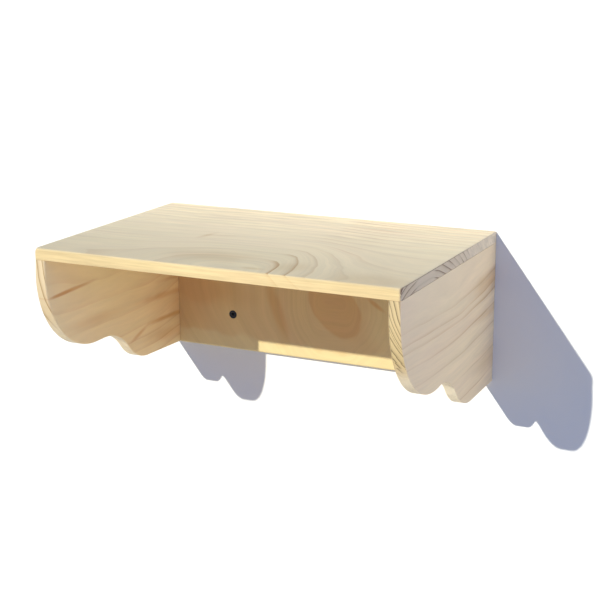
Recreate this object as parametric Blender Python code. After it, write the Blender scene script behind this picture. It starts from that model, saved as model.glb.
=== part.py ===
"""Wall-mounted pine cat step: a top board on two scalloped side boards, with a back board against the wall.

Metres, +Z up. The wall is the plane y = 0, +Y points into it and the step reaches out along -Y.
The origin is on the back board's rear face, midway between the two wall screws.
"""
from math import atan2, cos, pi, radians, sin, sqrt

import bmesh
import bpy
from mathutils import Matrix, Vector

# Overall size
SHELF_WIDTH = 0.400
SHELF_DEPTH = 0.268
SHELF_HEIGHT = 0.167

# Board stock
TOP_THICKNESS = 0.012
SIDE_THICKNESS = 0.012
BACK_THICKNESS = 0.010

# Film of glue, or air, between two pieces that touch
SEAM_GAP = 0.0003

# Side board outlines, front to wall: straight edge, large lobe, notch, concave sweep, small lobe and base.
# The boards were sawn by hand, so the two outlines differ by a few millimetres.
OUTLINES = {
    "left": {
        "front_straight": 0.0178,
        "notch_height": 0.0464,
        "lobe_dip": 0.0,
        "lobe_rear_run": 0.0168,
        "sweep_radius": 0.0579,
        "small_lobe_radius": 0.0524,
        "small_lobe_setback": 0.0787,
        "small_lobe_height": 0.0030,
    },
    "right": {
        "front_straight": 0.0151,
        "notch_height": 0.0444,
        "lobe_dip": 0.0012,
        "lobe_rear_run": 0.0173,
        "sweep_radius": 0.0536,
        "small_lobe_radius": 0.0576,
        "small_lobe_setback": 0.0704,
        "small_lobe_height": 0.0,
    },
}

# Eased edges
LONG_EDGE_RADIUS = 0.0018
END_EDGE_RADIUS = 0.0010
OUTER_EDGE_RADIUS = 0.0022
INNER_EDGE_RADIUS = 0.0012
CORNER_RADIUS = 0.0055
CORNER_REACH = 0.0090
BACK_EDGE_RADIUS = 0.0024

# Hidden dowels
DOWEL_DIAMETER = 0.006
DOWEL_LENGTH = 0.030
DOWEL_CHAMFER = 0.0006
DOWEL_DEPTH_IN_FACE = 0.008
DOWEL_END_CLEARANCE = 0.001
TOP_DOWEL_MARGIN = 0.032
TOP_DOWELS_PER_SIDE = 3
BACK_DOWEL_DROP = 0.045
BACK_DOWEL_SPACING = 0.090
LEDGE_DOWEL_SPACING = 0.200

# Wall screws and their countersunk holes
SCREW_SPACING = 0.230
SCREW_DROP = 0.125
SCREW_LENGTH = 0.045
SCREW_HEAD_DIAMETER = 0.0096
SCREW_HEAD_RIM = 0.0004
SCREW_HEAD_RECESS = 0.0003
SCREW_HEAD_HALF_ANGLE = radians(45.0)
SCREW_NECK_DIAMETER = 0.0036
SCREW_NECK_LENGTH = 0.0150
THREAD_DIAMETER = 0.0050
THREAD_ROOT_DIAMETER = 0.0032
THREAD_PITCH = 0.0022
THREAD_VALLEY_AT = 0.25
THREAD_CREST_AT = 0.75
SCREW_TIP_LENGTH = 0.0045
SCREW_POINT_DIAMETER = 0.0004
SCREW_HOLE_CLEARANCE = 0.0004
CROSS_SLOT_WIDTH = 0.0013
CROSS_SLOT_REACH = 0.0050
CROSS_SLOT_DEPTH = 0.0022
CROSS_SLOT_TAPER = 0.45
CROSS_SLOT_TURN = radians(36.0)

# How finely round shapes are drawn
EDGE_STEPS = 4
LOBE_STEPS = 22
DIP_STEPS = 3
SWEEP_STEPS = 9
SMALL_LOBE_STEPS = 12
ROUND_PROFILE = 0.5
CREASE_ANGLE = radians(35.0)
COPLANAR_ANGLE = radians(0.2)
DOWEL_SIDES = 16
SCREW_SIDES = 20
# How far a cutter passes the surface it opens
CUT_OVERRUN = 0.002

# Places worked out from the sizes above
TOP_Z = SCREW_DROP
UNDER_TOP_Z = TOP_Z - TOP_THICKNESS
SIDE_TOP_Z = UNDER_TOP_Z - SEAM_GAP
BASE_Z = TOP_Z - SHELF_HEIGHT
SIDE_MID_X = SHELF_WIDTH / 2 - SIDE_THICKNESS / 2
SIDE_INNER_X = SHELF_WIDTH / 2 - SIDE_THICKNESS
BACK_HALF_WIDTH = SIDE_INNER_X - SEAM_GAP
BACK_MID_Y = -BACK_THICKNESS / 2
DOWEL_HOLE_RADIUS = DOWEL_DIAMETER / 2 + SEAM_GAP
SCREW_HOLE_RADIUS = THREAD_DIAMETER / 2 + SCREW_HOLE_CLEARANCE

SIDES = (("left", -1), ("right", 1))
TO_X = Matrix.Rotation(pi / 2, 4, "Y")
TO_Y = Matrix.Rotation(-pi / 2, 4, "X")

# Colour, roughness and metallic of each finish
PINE = ((0.83, 0.70, 0.50), 0.55, 0.0)
PINE_SIDE = ((0.80, 0.67, 0.48), 0.55, 0.0)
BEECH = ((0.72, 0.50, 0.30), 0.6, 0.0)
BLACK_STEEL = ((0.03, 0.03, 0.035), 0.4, 1.0)


def clear_scene():
    for obj in list(bpy.data.objects):
        bpy.data.objects.remove(obj, do_unlink=True)


def make_material(name, finish):
    colour, roughness, metallic = finish
    material = bpy.data.materials.new(name)
    material.use_nodes = True
    shader = material.node_tree.nodes["Principled BSDF"]
    shader.inputs["Base Color"].default_value = (*colour, 1.0)
    shader.inputs["Roughness"].default_value = roughness
    shader.inputs["Metallic"].default_value = metallic
    material.diffuse_color = (*colour, 1.0)
    return material


def add_object(name, bm, material):
    """Turn a bmesh into a named object with smooth round stretches and crisp corners."""
    bmesh.ops.recalc_face_normals(bm, faces=bm.faces)
    mesh = bpy.data.meshes.new(name)
    bm.to_mesh(mesh)
    bm.free()
    mesh.shade_smooth()
    mesh.set_sharp_from_angle(angle=CREASE_ANGLE)
    mesh.materials.append(material)
    obj = bpy.data.objects.new(name, mesh)
    bpy.context.scene.collection.objects.link(obj)
    return obj


def loft(rings):
    """A closed body through rings of equal point counts, capped at both ends."""
    bm = bmesh.new()
    loops = [[bm.verts.new(point) for point in ring] for ring in rings]
    for first, second in zip(loops, loops[1:]):
        for i, vert in enumerate(first):
            j = (i + 1) % len(first)
            bm.faces.new((vert, first[j], second[j], second[i]))
    bm.faces.new(loops[0])
    bm.faces.new(loops[-1])
    return bm


def flatten_coplanar(bm):
    """Join facets that lie in one plane, so each flat of a board is one face."""
    bmesh.ops.dissolve_limit(
        bm, angle_limit=COPLANAR_ANGLE, use_dissolve_boundaries=False,
        verts=bm.verts, edges=bm.edges,
    )


def arc(centre, radii, start, end, steps):
    """Points of an ellipse's arc in a plane, both ends included."""
    angles = [start + (end - start) * i / steps for i in range(steps + 1)]
    return [(centre[0] + radii[0] * cos(a), centre[1] + radii[1] * sin(a)) for a in angles]


def board_section(x, front_inset, top_inset, front_radius):
    """The top board's outline across its width at one x, seen as (y, z) points."""
    front = -SHELF_DEPTH + front_inset
    top = TOP_Z - top_inset
    front_arc = arc((front + front_radius, top - front_radius), (front_radius,) * 2, pi, pi / 2, EDGE_STEPS)
    rear_radius = END_EDGE_RADIUS
    rear_arc = arc((-rear_radius, top - rear_radius), (rear_radius,) * 2, pi / 2, 0.0, EDGE_STEPS)
    outline = [(front, UNDER_TOP_Z)] + front_arc + rear_arc + [(0.0, UNDER_TOP_Z)]
    return [(x, y, z) for y, z in outline]


def corner_radius(from_end):
    """The front top edge's radius, which grows near the board's ends, where the corners are sanded round."""
    nearness = max(0.0, 1.0 - from_end / CORNER_REACH)
    return LONG_EDGE_RADIUS + (CORNER_RADIUS - LONG_EDGE_RADIUS) * nearness ** 2


def make_top_board(material):
    """The top board, with its end edges eased and its two front corners sanded round."""
    stations = []
    for i in range(EDGE_STEPS + 1):
        turn = pi / 2 * (1 - i / EDGE_STEPS)
        from_end = OUTER_EDGE_RADIUS * (1 - sin(turn))
        fall = 1 - cos(turn)
        stations.append((from_end, OUTER_EDGE_RADIUS * fall, END_EDGE_RADIUS * fall))
    blend = CORNER_REACH - OUTER_EDGE_RADIUS
    for i in range(1, EDGE_STEPS + 1):
        stations.append((OUTER_EDGE_RADIUS + blend * i / EDGE_STEPS, 0.0, 0.0))
    rings = []
    for side in (-1, 1):
        half = [
            board_section(side * (SHELF_WIDTH / 2 - s), front, top, corner_radius(s))
            for s, front, top in stations
        ]
        rings += half if side < 0 else half[::-1]
    bm = loft(rings)
    flatten_coplanar(bm)
    return add_object("top_board", bm, material)


def side_outline(sawn):
    """A side board's outline as (y, z) points, from its top front corner down and back to the wall."""
    straight_z = SIDE_TOP_Z - sawn["front_straight"]
    notch_z = BASE_Z + sawn["notch_height"]
    low_z = notch_z - sawn["lobe_dip"]
    sweep_radius = sawn["sweep_radius"]
    small_radius = sawn["small_lobe_radius"]
    small_centre = (-sawn["small_lobe_setback"], BASE_Z + sawn["small_lobe_height"] + small_radius)
    # The sweep's circle touches the notch's level from below and the small lobe from outside.
    sweep_centre_z = notch_z - sweep_radius
    drop = small_centre[1] - sweep_centre_z
    run = sqrt((small_radius + sweep_radius) ** 2 - drop ** 2)
    sweep_centre = (small_centre[0] - run, sweep_centre_z)
    meeting = atan2(drop, run)
    low_y = sweep_centre[0] - sawn["lobe_rear_run"]
    outline = [(-SHELF_DEPTH, SIDE_TOP_Z)]
    outline += arc((low_y, straight_z), (low_y + SHELF_DEPTH, straight_z - low_z), pi, 3 * pi / 2, LOBE_STEPS)
    for i in range(1, DIP_STEPS):
        share = i / DIP_STEPS
        outline.append((low_y + sawn["lobe_rear_run"] * share, low_z + sawn["lobe_dip"] * share ** 2))
    outline += arc(sweep_centre, (sweep_radius,) * 2, pi / 2, meeting, SWEEP_STEPS)
    outline += arc(small_centre, (small_radius,) * 2, pi + meeting, 3 * pi / 2, SMALL_LOBE_STEPS)[1:]
    return outline + [(0.0, BASE_Z), (0.0, SIDE_TOP_Z)]


def round_edges(bm, edges, radius):
    bmesh.ops.bevel(
        bm, geom=list(edges), offset=radius, offset_type="OFFSET", affect="EDGES",
        segments=EDGE_STEPS, profile=ROUND_PROFILE, clamp_overlap=True,
    )


def is_scalloped(edge, x):
    """True for an edge of the front, lobes or base on the board's face at x."""
    on_face = all(abs(v.co.x - x) < SEAM_GAP / 2 for v in edge.verts)
    middle = (edge.verts[0].co + edge.verts[1].co) / 2
    on_top = middle.z > SIDE_TOP_Z - SEAM_GAP / 2
    on_wall = middle.y > -SEAM_GAP / 2
    return on_face and not on_top and not on_wall


def make_side_board(side_name, side, material):
    """One side board, its scalloped edge rounded more on the outer face than on the inner one."""
    outer_x = side * SHELF_WIDTH / 2
    inner_x = side * SIDE_INNER_X
    outline = side_outline(OUTLINES[side_name])
    bm = loft([[(x, y, z) for y, z in outline] for x in (outer_x, inner_x)])
    for x, radius in ((outer_x, OUTER_EDGE_RADIUS), (inner_x, INNER_EDGE_RADIUS)):
        round_edges(bm, [edge for edge in bm.edges if is_scalloped(edge, x)], radius)
    flatten_coplanar(bm)
    return add_object(f"{side_name}_side_board", bm, material)


def make_back_board(material):
    """The back board, with its lower front edge rounded."""
    low = (-BACK_HALF_WIDTH, -BACK_THICKNESS, BASE_Z)
    high = (BACK_HALF_WIDTH, 0.0, SIDE_TOP_Z)
    section = [(low[1], low[2]), (low[1], high[2]), (high[1], high[2]), (high[1], low[2])]
    bm = loft([[(x, y, z) for y, z in section] for x in (low[0], high[0])])
    lower_front = [
        edge for edge in bm.edges
        if all(v.co.y < BACK_MID_Y and v.co.z < BASE_Z + SEAM_GAP for v in edge.verts)
    ]
    round_edges(bm, lower_front, BACK_EDGE_RADIUS)
    return add_object("back_board", bm, material)


def turned(profile, sides, placing):
    """A solid turned about Z from (radius, height) points, bottom to top, then placed."""
    rings = []
    for radius, height in profile:
        angles = [2 * pi * i / sides for i in range(sides)]
        rings.append([(radius * cos(a), radius * sin(a), height) for a in angles])
    bm = loft(rings)
    bm.transform(placing)
    return bm


def cut(target, cutters):
    """Take closed shapes out of a piece, one after another."""
    for i, bm in enumerate(cutters):
        cutter = add_object(f"{target.name}_cutter_{i}", bm, target.data.materials[0])
        cutter.hide_render = True
        cutter.display_type = "WIRE"
        modifier = target.modifiers.new(f"cut_{i}", "BOOLEAN")
        modifier.operation = "DIFFERENCE"
        modifier.solver = "EXACT"
        modifier.object = cutter


def dowel_profile():
    radius = DOWEL_DIAMETER / 2
    half = DOWEL_LENGTH / 2
    tip = radius - DOWEL_CHAMFER
    return [(tip, -half), (radius, -half + DOWEL_CHAMFER), (radius, half - DOWEL_CHAMFER), (tip, half)]


def dowel_hole(face, inward, depth, turn):
    """A blind hole's cutter, from just outside a face to its depth along the inward direction."""
    direction = Vector(inward)
    start = Vector(face) - direction * CUT_OVERRUN
    end = Vector(face) + direction * (depth + DOWEL_END_CLEARANCE)
    half = (end - start).length / 2
    profile = [(DOWEL_HOLE_RADIUS, -half), (DOWEL_HOLE_RADIUS, half)]
    return turned(profile, DOWEL_SIDES, Matrix.Translation((start + end) / 2) @ turn)


def make_dowel(name, face, inward, turn, material):
    """A dowel whose short end sits in the face at one side of a seam and whose long end is in the other."""
    centre = Vector(face) + Vector(inward) * (DOWEL_DEPTH_IN_FACE - DOWEL_LENGTH / 2)
    return add_object(name, turned(dowel_profile(), DOWEL_SIDES, Matrix.Translation(centre) @ turn), material)


def top_dowel_places():
    """Where each side board's top dowels meet the top board's underside."""
    span = SHELF_DEPTH - 2 * TOP_DOWEL_MARGIN
    return [-TOP_DOWEL_MARGIN - span * i / (TOP_DOWELS_PER_SIDE - 1) for i in range(TOP_DOWELS_PER_SIDE)]


def back_dowel_heights():
    first = TOP_Z - BACK_DOWEL_DROP
    return [first, first - BACK_DOWEL_SPACING]


def ledge_dowel_places():
    return [-LEDGE_DOWEL_SPACING / 2, LEDGE_DOWEL_SPACING / 2]


def join_top(top, side_boards, back, material):
    """Dowels between the top board and the boards that carry it."""
    upright = Matrix.Identity(4)
    depth_in_edge = DOWEL_LENGTH - DOWEL_DEPTH_IN_FACE
    top_holes = []
    for side_name, side in SIDES:
        edge_holes = []
        for i, y in enumerate(top_dowel_places()):
            face = (side * SIDE_MID_X, y, UNDER_TOP_Z)
            edge = (side * SIDE_MID_X, y, SIDE_TOP_Z)
            make_dowel(f"top_dowel_{side_name}_{i + 1}", face, (0, 0, 1), upright, material)
            top_holes.append(dowel_hole(face, (0, 0, 1), DOWEL_DEPTH_IN_FACE, upright))
            edge_holes.append(dowel_hole(edge, (0, 0, -1), depth_in_edge, upright))
        cut(side_boards[side_name], edge_holes)
    back_holes = []
    for i, x in enumerate(ledge_dowel_places()):
        face = (x, BACK_MID_Y, UNDER_TOP_Z)
        edge = (x, BACK_MID_Y, SIDE_TOP_Z)
        make_dowel(f"ledge_dowel_{i + 1}", face, (0, 0, 1), upright, material)
        top_holes.append(dowel_hole(face, (0, 0, 1), DOWEL_DEPTH_IN_FACE, upright))
        back_holes.append(dowel_hole(edge, (0, 0, -1), depth_in_edge, upright))
    cut(top, top_holes)
    cut(back, back_holes)


def join_back(side_boards, back, material):
    """Dowels from the side boards' inner faces into the back board's ends."""
    depth_in_end = DOWEL_LENGTH - DOWEL_DEPTH_IN_FACE
    end_holes = []
    for side_name, side in SIDES:
        face_holes = []
        for i, z in enumerate(back_dowel_heights()):
            face = (side * SIDE_INNER_X, BACK_MID_Y, z)
            end = (side * BACK_HALF_WIDTH, BACK_MID_Y, z)
            make_dowel(f"back_dowel_{side_name}_{i + 1}", face, (side, 0, 0), TO_X, material)
            face_holes.append(dowel_hole(face, (side, 0, 0), DOWEL_DEPTH_IN_FACE, TO_X))
            end_holes.append(dowel_hole(end, (-side, 0, 0), depth_in_end, TO_X))
        cut(side_boards[side_name], face_holes)
    cut(back, end_holes)


def screw_profile():
    """A countersunk screw's outline from its head, at height 0, to its tip."""
    head_radius = SCREW_HEAD_DIAMETER / 2
    neck_radius = SCREW_NECK_DIAMETER / 2
    cone = (head_radius - neck_radius) / sin(SCREW_HEAD_HALF_ANGLE) * cos(SCREW_HEAD_HALF_ANGLE)
    profile = [
        (head_radius, 0.0),
        (head_radius, SCREW_HEAD_RIM),
        (neck_radius, SCREW_HEAD_RIM + cone),
        (neck_radius, SCREW_NECK_LENGTH),
    ]
    thread_end = SCREW_LENGTH - SCREW_TIP_LENGTH
    turns = int((thread_end - SCREW_NECK_LENGTH) / THREAD_PITCH)
    for i in range(turns):
        start = SCREW_NECK_LENGTH + THREAD_PITCH * i
        profile.append((THREAD_ROOT_DIAMETER / 2, start + THREAD_PITCH * THREAD_VALLEY_AT))
        profile.append((THREAD_DIAMETER / 2, start + THREAD_PITCH * THREAD_CREST_AT))
    profile.append((THREAD_ROOT_DIAMETER / 2, thread_end))
    profile.append((SCREW_POINT_DIAMETER / 2, SCREW_LENGTH))
    return profile


def cross_slot(placing, turn):
    """One bar of the cross recess: a wedge that narrows with depth."""
    rings = []
    for height, share in ((-CUT_OVERRUN, 1.0), (0.0, 1.0), (CROSS_SLOT_DEPTH, CROSS_SLOT_TAPER)):
        half_reach = CROSS_SLOT_REACH / 2 * share
        half_width = CROSS_SLOT_WIDTH / 2 * share
        corners = [(-1, -1), (1, -1), (1, 1), (-1, 1)]
        rings.append([(half_reach * i, half_width * j, height) for i, j in corners])
    bm = loft(rings)
    bm.transform(placing @ Matrix.Rotation(turn, 4, "Z"))
    return bm


def screw_hole(x):
    """A countersunk clearance hole through the back board, wider than its screw all round."""
    mouth_gap = SEAM_GAP / cos(SCREW_HEAD_HALF_ANGLE)
    head_radius = SCREW_HEAD_DIAMETER / 2 + SEAM_GAP
    slope = sin(SCREW_HEAD_HALF_ANGLE) / cos(SCREW_HEAD_HALF_ANGLE)
    seat = SCREW_HEAD_RECESS + SCREW_HEAD_RIM + mouth_gap - SEAM_GAP
    cone = (head_radius - SCREW_HOLE_RADIUS) / slope
    profile = [
        (head_radius, -CUT_OVERRUN),
        (head_radius, seat),
        (SCREW_HOLE_RADIUS, seat + cone),
        (SCREW_HOLE_RADIUS, BACK_THICKNESS + CUT_OVERRUN),
    ]
    placing = Matrix.Translation((x, -BACK_THICKNESS, 0.0)) @ TO_Y
    return turned(profile, SCREW_SIDES, placing)


def make_wall_screws(back, material):
    """Two countersunk screws through the back board, with their points in the wall."""
    holes = []
    for side_name, side in SIDES:
        x = side * SCREW_SPACING / 2
        placing = Matrix.Translation((x, -BACK_THICKNESS + SCREW_HEAD_RECESS, 0.0)) @ TO_Y
        screw = add_object(
            f"wall_screw_{side_name}", turned(screw_profile(), SCREW_SIDES, placing), material
        )
        cut(screw, [cross_slot(placing, turn) for turn in (CROSS_SLOT_TURN, CROSS_SLOT_TURN + pi / 2)])
        holes.append(screw_hole(x))
    cut(back, holes)


def build():
    clear_scene()
    top_pine = make_material("pine_top", PINE)
    back_pine = make_material("pine_back", PINE)
    beech = make_material("beech_dowel", BEECH)
    steel = make_material("black_screw", BLACK_STEEL)
    top = make_top_board(top_pine)
    side_boards = {}
    for side_name, side in SIDES:
        pine = make_material(f"pine_side_{side_name}", PINE_SIDE)
        side_boards[side_name] = make_side_board(side_name, side, pine)
    back = make_back_board(back_pine)
    join_top(top, side_boards, back, beech)
    join_back(side_boards, back, beech)
    make_wall_screws(back, steel)


build()
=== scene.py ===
"""Looks of a wall-mounted pine cat step: bare pine boards, beech dowels, blackened wall screws and a stage.

The frame is in metres: the wall is the plane y = 0, +Y points into it, the step reaches out along -Y and
+Z is up. Every board keeps its CAD shape. Its wood is drawn as one solid block of growth rings around a
pith line, so that the long grain, the end grain and the figure agree on all of its faces.
"""
from math import cos, radians, sin

import bpy
from bpy.props import FloatProperty, FloatVectorProperty, PointerProperty
from mathutils import Matrix, Vector


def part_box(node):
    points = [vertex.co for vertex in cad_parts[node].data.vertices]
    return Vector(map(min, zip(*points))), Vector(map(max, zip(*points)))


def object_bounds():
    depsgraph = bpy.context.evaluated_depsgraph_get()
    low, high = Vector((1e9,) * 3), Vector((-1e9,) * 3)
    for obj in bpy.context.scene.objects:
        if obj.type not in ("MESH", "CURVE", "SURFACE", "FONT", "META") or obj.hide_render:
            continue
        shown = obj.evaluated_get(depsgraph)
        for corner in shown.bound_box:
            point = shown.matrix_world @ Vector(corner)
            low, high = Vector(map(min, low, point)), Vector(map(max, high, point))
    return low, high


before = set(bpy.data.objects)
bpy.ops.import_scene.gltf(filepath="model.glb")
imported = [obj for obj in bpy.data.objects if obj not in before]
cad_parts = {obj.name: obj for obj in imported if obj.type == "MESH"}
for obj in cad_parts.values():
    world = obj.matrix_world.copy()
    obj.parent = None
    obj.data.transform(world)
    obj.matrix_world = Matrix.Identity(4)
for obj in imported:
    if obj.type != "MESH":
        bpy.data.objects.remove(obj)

CAD_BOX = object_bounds()

bl_info = {
    "name": "Pine Cat Step",
    "version": (1, 0, 0),
    "blender": (4, 5, 0),
    "location": "3D View > Sidebar > Cat Step",
    "description": "Finishes a wall-mounted pine cat step and sets its stage",
    "category": "Object",
}

MM_PER_M = 1000.0

# Sockets of a Mix node, by place because its kinds share their names
NUMBER_A = 2
NUMBER_B = 3
COLOUR_A = 6
COLOUR_B = 7
MIXED_COLOUR = 2
# The hue setting that leaves a colour as it is
SAME_HUE = 0.5

# Patterns in the wood, in mm along the grain and mm across it: swells that bend the rings, patches where
# rings fade, broad streaks and slow changes of hue
SWELLS = (110.0, 40.0)
FADED_PATCHES = (80.0, 12.0)
STREAKS = (170.0, 7.0)
TINTS = (120.0, 20.0)
# Fibres are about 0.1 mm apart, drawn here at 2 mm so that they show
FIBRES = (45.0, 2.0)
# How far apart the resin ducts are
DUCT_SPACING = (14.0, 1.9)
# How far apart the bends of a stain's outline are, and how far they go as a share of its half length
STAIN_BENDS = 30.0
STAIN_WAVER = 0.35
# Longer than any board, so that a stain runs right through one
FAR_MM = 1e6
# How high the fibres stand on a planed face, and how high summer wood stands as a share of that
FIBRE_RELIEF_MM = 0.12
SUMMER_RELIEF = 0.5
# How far the fibres vary the roughness, either way
ROUGHNESS_SPREAD = 0.08

# Flecks in beech are a little over half a mm wide
BEECH_FLECKS_MM = 0.625
# The coating's crystals are a few hundredths of a mm, drawn here at 0.5 mm so that they show
COATING_CRYSTALS_MM = 0.5
COATING_RELIEF_MM = 0.1
ROLLER_STIPPLE_MM = 2.0
STIPPLE_RELIEF_MM = 0.2

# The wall lies just behind the boards' backs, and its opening is a little smaller than the step
WALL_GAP = 0.0003
OPENING_MARGIN = 0.0005
FLOOR_REACH = 4.0
# Which way the key light travels, from how far the step's shadow falls to the right and down on the wall
KEY_HEADING = (0.41395, 1.0, -0.54807)
SOFT_BOX_SIZE = 1.0
FRONT_FILL_PLACE = (0.9, -1.3, -0.25)
SIDE_FILL_PLACE = (1.5, -0.35, 0.25)
# What the camera sees past the wall and the floor
BEYOND_STAGE = (0.9, 0.91, 0.93, 1.0)
SENSOR_WIDTH_MM = 36.0

# How dark the wood is through a year, from the start of spring at 0 to the end of summer at 1
SEASON = ((0.0, 0.2), (0.04, 0.0), (0.5, 0.06), (0.75, 0.25), (0.9, 0.75), (0.97, 1.0), (1.0, 0.8))
# The part of a year that its dark line of summer wood takes up
SUMMER_SHARE = 0.3


def ring_years(radii, line):
    """A chart of years against radius in mm, where each year ends at its radius, in a line of one width."""
    # The first year starts a few lines inside its radius
    points = [(radii[0] - 4 * line, 0.05)]
    for year, radius in enumerate(radii, 1):
        points += [(radius - line, year - SUMMER_SHARE), (radius, year)]
    return points


# A figure says how a board was cut from its tree. Places and lengths are in mm, and a chart is a row of
# points, each a place and the value there.
# axes: the frame's axes along the grain, across the board's width and through its thickness.
# squeeze: how much distance across the board counts. Less than 1 makes the rings broad ovals.
# across, through: charts of where the pith line runs, by place along the grain.
# settle: how large a share of the line's bends gives way to a level, far across the board from the pith.
# years, depth: charts of how many rings lie inside a radius, and of how dark they are there.
# end_log: the pith and squeeze that the sawn ends show instead.
# end_rings: how many times as many rings the ends show. end_depth: how dark, by place across the board.
# bounce_lit_rim: painted bounce light, how much paler the sawn outline is, by place across the board.
# end_arris_dark: how much darker the arrises of the ends are drawn.
# length: how strongly rings show, by place along the grain.
# bold: how strongly all grain shows, by place out from the wall.
# stains: ovals of darker heartwood, or of painted shade on the back board, by place along and across,
# half length, half width, tilt in degrees, strength, less than 0 where the wood is paler, and the share of
# the oval that its soft edge takes up.
# wander: how far the rings stray from true circles. seed: what sets the board's small patterns apart.
TOP_FIGURE = {
    "axes": ("X", "Y", "Z"),
    "squeeze": 0.6,
    "across": ((-200, -258), (200, -258)),
    "through": (
        (-200, 79), (-140, 80), (-105, 84), (-75, 92), (-40, 103), (-10, 110), (15, 113), (40, 112),
        (57, 105), (67, 94), (87, 77), (110, 63), (137, 54), (189, 50), (200, 50),
    ),
    "settle": {"from": 50.0, "to": 158.3, "level": 80.0, "share": 0.75},
    "years": ((0, 0), (32, 1), (48.5, 2), (62.5, 3), (75, 4), (200, 21)),
    "depth": ((0, 0.15), (26, 0.3), (31, 0.95), (50, 0.95), (60, 0.4), (76, 0.4), (90, 0.35), (200, 0.35)),
    "end_log": {"across": -204.0, "through": -10.0, "squeeze": 1.0},
    "end_rings": 1,
    "end_depth": (
        (-268, 1.0), (-238, 0.9), (-222, 0.15), (-188, 0.1), (-176, 0.9), (-140, 0.9), (-128, 0.4),
        (-112, 0.4), (-102, 1.0), (-88, 0.8), (-72, 0.2), (0, 0.05),
    ),
    "bounce_lit_rim": ((-268, 0.0), (-150, 0.0), (-60, 0.7), (0, 1.0)),
    "end_arris_dark": 0.95,
    "length": (
        (-200, 0.45), (-60, 0.3), (20, 0.22), (46, 0.5), (58, 1.0), (92, 1.0), (125, 0.5), (200, 0.6),
    ),
    "bold": ((-268, 1.2), (-140, 1.1), (-100, 1.7), (-60, 2.6), (0, 3.2)),
    "stains": (
        (-15, -224, 74, 36, 8, 0.3, 0.9),
        (43, -255, 17, 6, 0, 0.35, 1.0),
        (74, -236, 30, 26, 60, 0.25, 0.9),
        (165, -250, 60, 36, 0, 0.25, 0.9),
        (-70, -143, 22, 7, 78, 0.45, 1.0),
        (-52, -137, 34, 6, 14, 0.22, 1.0),
    ),
    "wander": 7.0,
    "seed": 3.1,
}
RIGHT_FIGURE = {
    "axes": ("Y", "Z", "X"),
    "squeeze": 1.0,
    "across": ((-268, 127), (-140, 121), (-70, 124), (0, 131)),
    "through": ((-268, 284), (0, 284)),
    "years": ring_years((93, 99.3, 103.8, 114.7, 129.8, 151.4, 172, 190), 2.2),
    "depth": ((0, 0.5), (92, 0.5), (99, 0.75), (115, 0.75), (130, 0.65), (200, 0.55)),
    "end_rings": 2,
    "end_depth": ((-42, 0.15), (26, 0.15), (48, 1.0), (113, 1.0)),
    "bounce_lit_rim": ((-42, 1.0), (22, 1.0), (52, 0.0), (113, 0.0)),
    "end_arris_dark": 0.45,
    "length": ((-268, 1.0), (0, 1.0)),
    "bold": ((-268, 0.8), (-140, 0.9), (-60, 1.3), (0, 1.6)),
    "stains": (
        (-5, 76, 90, 16, 0, 0.55, 0.9),
        (-5, 42, 80, 7, 3, 0.35, 0.9),
        (0, -10, 90, 20, 2, 0.3, 0.9),
    ),
    "wander": 5.0,
    "seed": 11.7,
}
LEFT_FIGURE = {
    "axes": ("Y", "Z", "X"),
    "squeeze": 1.0,
    "across": ((-268, 115), (-140, 112), (0, 120)),
    "through": ((-268, -20), (-140, -21), (0, -18)),
    "years": ((0, 0), (150, 8), (168, 10), (175, 11), (186, 12), (198, 13), (206, 14), (230, 17)),
    "depth": ((0, 0.3), (176, 0.3), (190, 0.35), (206, 0.45), (230, 0.6)),
    "end_rings": 1,
    "end_depth": ((-42, 0.9), (113, 0.9)),
    "bounce_lit_rim": ((-42, 0.6), (22, 0.6), (60, 0.0), (113, 0.0)),
    "end_arris_dark": 0.1,
    "length": ((-268, 1.0), (0, 1.0)),
    "bold": ((-268, 0.9), (-130, 1.0), (-60, 1.2), (0, 1.3)),
    "stains": (
        (-222, 72.3, 50, 3.2, 1.2, 0.8, 0.8),
        (-246, 71.5, 28, 2.8, 1.2, 0.5, 0.8),
        (-110, 0, 150, 64, 0, 0.12, 0.6),
        (-185, 30, 75, 9, -2, 0.3, 0.9),
        (-42, -3.5, 54, 4.5, -2, 0.6, 0.9),
        (-98, -9, 27, 4, 18, 0.55, 0.9),
        (-40, 24, 80, 6, -3, 0.4, 0.9),
        (-15, 40, 60, 4, -3, 0.35, 0.9),
        (-35, -24, 70, 12, -4, 0.35, 0.9),
        (10, 5, 120, 70, 0, 0.4, 1.0),
    ),
    "wander": 7.0,
    "seed": 27.9,
}
BACK_FIGURE = {
    "axes": ("X", "Z", "Y"),
    "squeeze": 0.8,
    "across": ((-188, 40), (15, 30), (188, 30)),
    "through": ((-188, 125), (-66, 71), (-20, 25), (15, -8), (48, 23), (100, 62), (188, 95)),
    "years": ((0, 0), (81, 1), (120, 3), (200, 8)),
    "depth": ((0, 0.04), (81, 0.09), (200, 0.09)),
    "end_rings": 1,
    "end_depth": ((-42, 1.0), (113, 1.0)),
    "end_arris_dark": 0.0,
    "length": ((-188, 1.0), (188, 1.0)),
    "bold": ((-268, 1.0), (0, 1.0)),
    "stains": (
        # Painted shade: the first oval darkens the back board above its low strip, where the key light
        # falls; the second takes part of that painted shade off again at the right.
        (0, 45, 400, 76, 0, 0.45, 0.1),
        (110, 20, 64, 80, 0, -0.4, 0.4),
        (17, 20, 41, 28, 136, 0.85, 0.22),
        (30, 0, 26, 17, 150, 0.3, 0.9),
        (-57, 12, 48, 11, -70, 0.7, 0.9),
        (-150, 28, 80, 26, -4, 0.45, 0.8),
        (-185, 20, 80, 80, 0, 0.4, 1.0),
        (67, 31, 17, 4, -33, 0.9, 0.8),
    ),
    "wander": 5.0,
    "seed": 42.3,
}


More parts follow.
